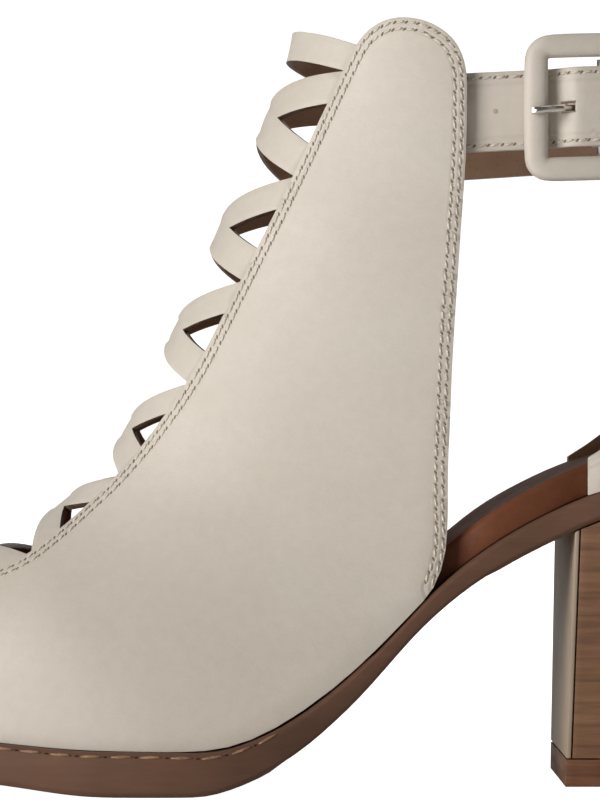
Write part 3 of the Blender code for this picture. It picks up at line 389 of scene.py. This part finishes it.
def smoothed(name, work, levels, soften_mm, materials):
    """Object from a bmesh: subdivided between its sharp edges, which are then rounded off."""
    crease(work)
    mesh = bpy.data.meshes.new(name)
    work.to_mesh(mesh)
    work.free()
    piece = new_object(name, mesh)
    for material in materials:
        mesh.materials.append(material)
    if levels:
        smoothing = piece.modifiers.new("smoothing", "SUBSURF")
        smoothing.levels = levels
        smoothing.render_levels = levels
        settled = piece.evaluated_get(bpy.context.evaluated_depsgraph_get())
        piece.data = bpy.data.meshes.new_from_object(settled)
        piece.modifiers.clear()
    finish = bmesh.new()
    finish.from_mesh(piece.data)
    finish.normal_update()
    edges = [edge for edge in finish.edges
             if len(edge.link_faces) == 2 and edge.calc_face_angle_signed() > SHARP]
    bmesh.ops.bevel(finish, geom=edges, offset=soften_mm * MM, offset_type="OFFSET", segments=2,
                    profile=0.5, affect="EDGES", material=-1, clamp_overlap=True)
    finish.to_mesh(piece.data)
    finish.free()
    piece.data.name = name
    piece.data.shade_smooth()
    piece.data.set_sharp_from_angle(angle=SHADED_SHARP)
    return piece


def dress(piece, slot, *stood_for):
    """Rides the piece on the shoe and hides the CAD nodes that it stands for; its slot, for the
    finish, is not used.
    """
    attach(piece, "root")
    if stood_for:
        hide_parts(*stood_for)
    return piece


def patches(work, sharp=SHARP):
    """Groups of faces joined over edges that aren't sharp."""
    left = dict.fromkeys(work.faces)
    groups = []
    while left:
        first = next(iter(left))
        del left[first]
        group = [first]
        for face in group:
            for edge in face.edges:
                if len(edge.link_faces) == 2 and edge.calc_face_angle() < sharp:
                    for other in edge.link_faces:
                        if other in left:
                            del left[other]
                            group.append(other)
        groups.append(group)
    return groups


def strip_width(group):
    """Mean width of a patch, taken as a strip."""
    inside = set(group)
    rim = sum(edge.calc_length() for face in group for edge in face.edges
              if any(other not in inside for other in edge.link_faces))
    return 2.0 * sum(face.calc_area() for face in group) / max(rim, 1e-9)


def faces_outwards(group, core):
    """Whether a patch looks away from the core, a function from a place to a point inside."""
    total = 0.0
    for face in group:
        centre = face.calc_center_median()
        total += face.calc_area() * face.normal.dot((centre - core(centre)).normalized())
    return total > 0.0


def paint_wall(work, core, edge_material, sharp=SHARP):
    """Leather outside, lining inside, and the edges of the wall; returns the outer patches."""
    outer = []
    for group in patches(work, sharp):
        if strip_width(group) < EDGE_STRIP_MM * MM:
            kind = edge_material
        elif faces_outwards(group, core):
            kind = LEATHER
            outer.append(group)
        else:
            kind = LINING
        for face in group:
            face.material_index = kind
    return outer


def rim_of(group):
    """Longest closed rim of a patch: rows of place, facing and the way into the patch."""
    inside = set(group)
    following = {}
    for face in group:
        for loop in face.loops:
            if any(other not in inside for other in loop.edge.link_faces):
                following[loop.vert] = loop.link_loop_next.vert
    walks = []
    while following:
        walk = [next(iter(following))]
        while walk[-1] in following:
            walk.append(following.pop(walk[-1]))
        walks.append(walk)
    walk = max(walks, key=lambda turn: sum((b.co - a.co).length for a, b in zip(turn, turn[1:])))
    walk.pop()
    rows = []
    for i, vert in enumerate(walk):
        facing = Vector()
        for face in vert.link_faces:
            if face in inside:
                facing += face.normal
        facing.normalize()
        run = walk[(i + 1) % len(walk)].co - walk[i - 1].co
        rows.append((vert.co.copy(), facing, facing.cross(run).normalized()))
    return rows


def surface_of(piece):
    """Search tree of a finished mesh."""
    work = bmesh.new()
    work.from_mesh(piece.data)
    tree = BVHTree.FromBMesh(work)
    work.free()
    return tree


def longest_run(rows, wanted):
    """Longest unbroken run of a closed rim's rows for which wanted is true."""
    count = len(rows)
    best = []
    for start in range(count):
        if wanted(rows[start]) and not wanted(rows[start - 1]):
            run = []
            for step in range(count):
                row = rows[(start + step) % count]
                if not wanted(row):
                    break
                run.append(row)
            if len(run) > len(best):
                best = [rows[start - 1]] + run + [rows[(start + len(run)) % count]]
    return best or rows


def fine_line(points, closed=False):
    """Evenly spaced points on a smooth curve through the given ones."""
    step = LINE_STEP_MM * MM
    count = len(points)
    spots = []
    spans = count if closed else count - 1
    for i in range(spans):
        if closed:
            a, b, c, d = (points[(i + k) % count] for k in (-1, 0, 1, 2))
        else:
            a, b, c, d = (points[min(max(i + k, 0), count - 1)] for k in (-1, 0, 1, 2))
        for j in range(SPLINE_STEPS):
            f = j / SPLINE_STEPS
            spots.append(0.5 * (2 * b + (c - a) * f + (2 * a - 5 * b + 4 * c - d) * f * f
                                + (3 * b - a - 3 * c + d) * f ** 3))
    spots.append(points[0] if closed else points[-1])
    even = [spots[0].copy()]
    need = step
    for a, b in zip(spots, spots[1:]):
        length = (b - a).length
        while length > 0 and need <= length:
            even.append(a.lerp(b, need / length))
            need += step
        need -= length
    return even


def settle(points, surface, rounds=6):
    """Line eased and laid on a surface: rows of place and facing."""
    line = [point.copy() for point in points]
    for _ in range(rounds):
        line = ([line[0]] + [(a + 2 * b + c) / 4 for a, b, c in zip(line, line[1:], line[2:])]
                + [line[-1]])
    return [surface.find_nearest(point)[:2] for point in line]


def bead_place(spot, along, facing, sizes_mm):
    """Matrix that lays a ball of width 1 on a spot, with these sizes along, across and up."""
    across = facing.cross(along).normalized()
    rows = [axis * size * MM for axis, size in zip((along, across, facing), sizes_mm)]
    return Matrix.Translation(spot) @ Matrix(rows).transposed().to_4x4()


class Needle:
    """Collects stitches and dark beads of painted shade for their needle holes, and turns them
    into two objects.
    """

    def __init__(self):
        self.threads = []
        self.hole_shades = []

    def sew(self, line, pitch_mm, long_share=0.72, wide_mm=THREAD_WIDE_MM, tall_mm=0.5,
            slant_deg=10.0, lift_mm=0.08, hole_shade_mm=0.95, skip=None):
        """A row of stitches along rows of place and facing, with a bead of painted hole shade
        between two of them.
        """
        stitch = (pitch_mm * long_share, wide_mm, tall_mm)
        mark = (hole_shade_mm, hole_shade_mm * 0.5, HOLE_SHADE_DEEP_MM)
        kinds = ((self.threads, 0.5, slant_deg, stitch, lift_mm),
                 (self.hole_shades, 0.0, 3.0 * slant_deg, mark, HOLE_SHADE_LIFT_MM))
        step = (line[1][0] - line[0][0]).length
        every = pitch_mm * MM / max(step, 1e-9)
        for number in range(int((len(line) - 2) / every)):
            for target, share, turned_deg, sizes, high_mm in kinds:
                i = min(max(1, round((number + share) * every)), len(line) - 2)
                place, facing = line[i]
                if skip and skip(place):
                    continue
                run = (line[i + 1][0] - line[i - 1][0]).normalized()
                turn = Matrix.Rotation(math.radians(turned_deg), 3, facing)
                along = (turn @ run).normalized()
                spot = place + facing * high_mm * MM
                target.append(bead_place(spot, along, facing, sizes))

    def punch(self, surface, place, wide_mm):
        """A darker disc on the leather nearest to a place: painted shade of a closed round
        punched hole.
        """
        spot, facing = surface.find_nearest(Vector(place))[:2]
        along = facing.orthogonal().normalized()
        sizes = (wide_mm, wide_mm, PUNCHED_DEEP_MM)
        self.hole_shades.append(bead_place(spot, along, facing, sizes))

    def objects(self, name, slot, thread_material, hole_shade_material):
        """One object of all threads and one of all beads of painted hole shade."""
        for places, part, material in ((self.threads, "thread", thread_material),
                                       (self.hole_shades, "needle_hole_shades", hole_shade_material)):
            if not places:
                continue
            bead = bmesh.new()
            bmesh.ops.create_uvsphere(bead, u_segments=6, v_segments=4, radius=0.5)
            mesh = bpy.data.meshes.new(f"{name}_{part}")
            work = bmesh.new()
            single = bpy.data.meshes.new("bead")
            bead.to_mesh(single)
            bead.free()
            for place in places:
                first = len(work.verts)
                work.from_mesh(single)
                work.verts.ensure_lookup_table()
                bmesh.ops.transform(work, matrix=place, verts=work.verts[first:])
            work.to_mesh(mesh)
            work.free()
            bpy.data.meshes.remove(single)
            mesh.materials.append(material)
            mesh.shade_smooth()
            dress(new_object(mesh.name, mesh), slot)


def nearest_in(rims, shift_mm):
    """Search tree of rims moved into their patches by some millimetres."""
    points = [point for rim in rims for point in fine_line(shift_row(rim, shift_mm))]
    tree = KDTree(len(points))
    for i, point in enumerate(points):
        tree.insert(point, i)
    tree.balance()
    return tree


def mark_distance(piece, rims):
    """Stores on each vertex its distance in from the nearest rim, in millimetres."""
    rim, inner, outer = (nearest_in(rims, shift) for shift in (0.0, SIDE_MM, -SIDE_MM))
    values = []
    for vertex in piece.data.vertices:
        place = vertex.co
        outside = outer.find(place)[2] < inner.find(place)[2]
        values.append(PLAIN_MM if outside else rim.find(place)[2] / MM)
    attribute = piece.data.attributes.new("edge_mm", "FLOAT", "POINT")
    attribute.data.foreach_set("value", values)


def shift_row(rows, inset_mm):
    """Places of a rim's rows, moved into its patch."""
    return [place + inward * inset_mm * MM for place, facing, inward in rows]


def clear_of_sole(rim, sole_surface):
    """The rim's longest run that the outsole doesn't cover."""
    return longest_run(
        rim, lambda row: sole_surface.find_nearest(row[0])[3] > SOLE_NEAR_MM * MM)


def sew_beside(needle, free, surface, sole_surface, slant_deg=10.0):
    """Two rows beside a free edge, which end at the outsole."""
    for inset in PANEL_ROWS_MM:
        line = settle(fine_line(shift_row(free, inset)), surface)
        needle.sew(line, PANEL_PITCH_MM, slant_deg=slant_deg, skip=lambda place: (
            sole_surface.find_nearest(place)[3] < STITCH_NEAR_MM * MM))


# Sole, footbed and heel

def make_outsole():
    work = merged("outsole")
    top = max(patches(work), key=lambda group: sum(
        face.calc_area() * face.normal.z for face in group))
    rim = rim_of(top)
    for vert in {vert for face in top for vert in face.verts}:
        vert.co.z += JOINT_FILL_MM * MM
    piece = smoothed("outsole_burnished", work, 1, 0.34, [outsole_leather()])
    dress(piece, "outsole_leather", "outsole")
    surface = surface_of(piece)
    front = longest_run(rim, lambda row: row[0].x < WELT_END_X)
    line = settle(fine_line(shift_row(front, WELT_ROW_MM)), surface)
    needle = Needle()
    needle.sew(line, WELT_PITCH_MM, long_share=0.8, wide_mm=0.62, tall_mm=0.6, slant_deg=2.0,
               lift_mm=0.12, hole_shade_mm=0.9)
    needle.objects("welt_stitching", "outsole_leather", TAN_THREAD, WELT_HOLE_SHADE)
    return surface


def make_footbed():
    piece = smoothed("footbed_padded", merged("footbed"), 1, 0.42, [footbed_leather()])
    return dress(piece, "footbed_leather", "footbed")


def make_heel():
    stack = stacked_leather("stacked_leather_layers", "#6D4B33", "#7F5B40", "#8C674A", 4.4)
    lift = stacked_leather("brown_top_lift", "#54321F", "#70482F", "#82583C", 2.7)
    cover = breast_cover()
    for node, name, slot, material, levels, soft in (
            ("heel_block", "heel_block_stacked", "stacked_leather", stack, 2, 0.4),
            ("top_lift", "top_lift_worn", "top_lift_rubber", lift, 2, 0.3),
            ("heel_breast_cover", "heel_breast_pasted", "breast_leather", cover, 0, 0.2)):
        dress(smoothed(name, merged(node), levels, soft, [material]), slot, node)


# Upper, counter, strap and buckle

def foot_core(place):
    """A point inside the foot, under a place on the upper."""
    x = min(max(place.x, FOOT_MIDDLE[0][0]), FOOT_MIDDLE[-1][0])
    for (x_a, z_a), (x_b, z_b) in zip(FOOT_MIDDLE, FOOT_MIDDLE[1:]):
        if x <= x_b:
            return Vector((place.x, 0.0, z_a + (z_b - z_a) * (x - x_a) / (x_b - x_a)))


def heel_core(place):
    """A point inside the heel, level with a place on the counter or the strap."""
    return Vector((HEEL_MIDDLE_X, 0.0, place.z))


def make_upper(sole_surface):
    work = merged("upper")
    outer = paint_wall(work, foot_core, CUT_EDGE, PANEL_SHARP)
    panels = []
    for group in outer:
        middle_y = sum(face.calc_center_median().y for face in group) / len(group)
        if abs(middle_y) > PANEL_FROM_MM * MM:
            panels.append(group)
    for group in panels:
        inside = set(group)
        for face in group:
            for edge in face.edges:
                for other in edge.link_faces:
                    if other not in inside and other.material_index == CUT_EDGE:
                        other.material_index = LEATHER
    rims = [rim_of(group) for group in panels]
    piece = smoothed("upper_leather", work, 1, 0.15, LEATHERS)
    dress(piece, "upper_leather", "upper")
    surface = surface_of(piece)
    needle = Needle()
    free_rims = [clear_of_sole(rim, sole_surface) for rim in rims]
    for rim, free in zip(rims, free_rims):
        slant = 12.0 if rim[0][0].y < 0 else -12.0
        sew_beside(needle, free, surface, sole_surface, slant)
    mark_distance(piece, free_rims)
    needle.objects("panel_stitching", "upper_leather", STONE_THREAD, STONE_HOLE_SHADE)


def make_counter(sole_surface):
    work = merged("counter")
    outer = paint_wall(work, heel_core, LEATHER)
    rim = rim_of(max(outer, key=len))
    piece = smoothed("counter_leather", work, 1, 0.3, LEATHERS)
    dress(piece, "upper_leather", "counter")
    free = clear_of_sole(rim, sole_surface)[1:-1]
    needle = Needle()
    sew_beside(needle, free, surface_of(piece), sole_surface)
    mark_distance(piece, [free])
    needle.objects("counter_stitching", "upper_leather", STONE_THREAD, STONE_HOLE_SHADE)


def make_strap(node, name, needle):
    work = merged(node)
    outer = paint_wall(work, heel_core, LEATHER)
    rim = rim_of(max(outer, key=lambda group: sum(face.calc_area() for face in group)))
    piece = smoothed(name, work, 1, 0.2, LEATHERS)
    dress(piece, "upper_leather", node)
    surface = surface_of(piece)
    line = settle(fine_line(shift_row(rim, STRAP_ROW_MM), closed=True), surface)
    needle.sew(line, STRAP_PITCH_MM, slant_deg=14.0)
    mark_distance(piece, [rim + rim[:1]])
    return surface


def make_ankle_strap():
    needle = Needle()
    holed = make_strap("ankle_strap_holed", "ankle_strap_outer", needle)
    make_strap("ankle_strap_wrap", "ankle_strap_heel", needle)
    needle.objects("strap_stitching", "upper_leather", STONE_THREAD, STONE_HOLE_SHADE)
    # closed punched holes: darker discs of painted shade
    holes = Needle()
    for x in PUNCHED_X:
        holes.punch(holed, (x, PUNCHED_Y, PUNCHED_Z), PUNCHED_WIDE_MM)
    holes.objects("punched_holes", "upper_leather", STONE_THREAD, needle_hole_shade(
        "painted_shade_of_closed_punch_in_stone_leather", "#B8AC9B"))
    for node, name, soft in (("buckle_frame", "buckle_covered", 0.2),
                             ("strap_keeper", "keeper_loop", 0.3)):
        piece = smoothed(name, merged(node), 1, soft, LEATHERS[:1])
        mark = piece.data.attributes.new("edge_mm", "FLOAT", "POINT")
        mark.data.foreach_set("value", [PLAIN_MM] * len(piece.data.vertices))
        dress(piece, "upper_leather", node)
    steel = polished_steel()
    for node, name in (("buckle_prong", "buckle_prong_polished"),
                       ("buckle_centre_bar", "buckle_bar_polished")):
        dress(smoothed(name, merged(node), 1, 0.2, [steel]), "buckle_steel", node)


# Studio

def aim(holder, place, target):
    """Sets a lamp or camera on a place and points it at a target."""
    holder.location = place
    holder.rotation_euler = (Vector(target) - Vector(place)).to_track_quat("-Z", "Y").to_euler()


def seen_or_lit(tree, seen, lit):
    """A strength for what the camera sees, and another for the light that falls on the shoe."""
    path = add(tree, "ShaderNodeLightPath").outputs["Is Camera Ray"]
    inputs = {"Value": path, "To Min": lit, "To Max": seen}
    return add(tree, "ShaderNodeMapRange", inputs).outputs[0]


def make_studio():
    floor = bmesh.new()
    bmesh.ops.create_grid(floor, x_segments=1, y_segments=1, size=SWEEP_HALF)
    back = [edge for edge in floor.edges if all(vert.co.y > 0.0 for vert in edge.verts)]
    turned = bmesh.ops.spin(floor, geom=back, cent=(0, SWEEP_HALF, SWEEP_BEND), axis=(1, 0, 0),
                            angle=math.radians(90), steps=12)
    last = [item for item in turned["geom_last"] if isinstance(item, bmesh.types.BMEdge)]
    raised = bmesh.ops.extrude_edge_only(floor, edges=last)
    bmesh.ops.translate(floor, vec=(0, 0, SWEEP_HALF), verts=[
        item for item in raised["geom"] if isinstance(item, bmesh.types.BMVert)])
    bmesh.ops.recalc_face_normals(floor, faces=floor.faces)
    mesh = bpy.data.meshes.new("studio_sweep")
    floor.to_mesh(mesh)
    floor.free()
    mesh.shade_smooth()
    material, tree, shader = principled("white_paper_sweep", 0.9, ior=1.4)
    shader.inputs["Base Color"].default_value = srgb("#F6F6F6")
    shader.inputs["Emission Color"].default_value = srgb("#FFFFFF")
    link(tree, seen_or_lit(tree, 1.0, 0.06), shader, "Emission Strength")
    mesh.materials.append(material)
    sweep = new_object("studio_sweep", mesh)

    world = bpy.data.worlds.new("studio")
    world.use_nodes = True
    background = world.node_tree.nodes["Background"]
    background.inputs["Color"].default_value = srgb("#FFF6EA")
    link(world.node_tree, seen_or_lit(world.node_tree, 1.15, 0.11), background, "Strength")
    bpy.context.scene.world = world
    bpy.context.scene.view_settings.view_transform = "Standard"

    lamps = (
        ("key_softbox", (-1.5, -1.2, 0.38), 1.0, 35.0),
        ("fill_softbox", (1.3, -1.3, 0.8), 1.2, 0.8),
        ("top_softbox", (0.1, 0.4, 1.8), 1.4, 3.5),
        ("back_softbox", (0.7, 1.7, 0.9), 1.2, 12.0),
    )
    for name, place, size, watts in lamps:
        lamp = bpy.data.lights.new(name, "AREA")
        lamp.size = size
        lamp.energy = watts
        aim(new_object(name, lamp), place, LAMP_AIM)


def make_camera():
    camera = bpy.data.cameras.new("photograph")
    camera.sensor_width = SENSOR_MM
    camera.lens = FOCAL_PX / FRAME_TALL_PX * SENSOR_MM
    camera.clip_start = 0.05
    camera.clip_end = 50.0
    holder = new_object("photograph", camera)
    aim(holder, CAMERA_PLACE, CAMERA_AIM)
    bpy.context.scene.camera = holder


sole = make_outsole()
make_footbed()
make_heel()
make_upper(sole)
make_counter(sole)
make_ankle_strap()
make_studio()
make_camera()
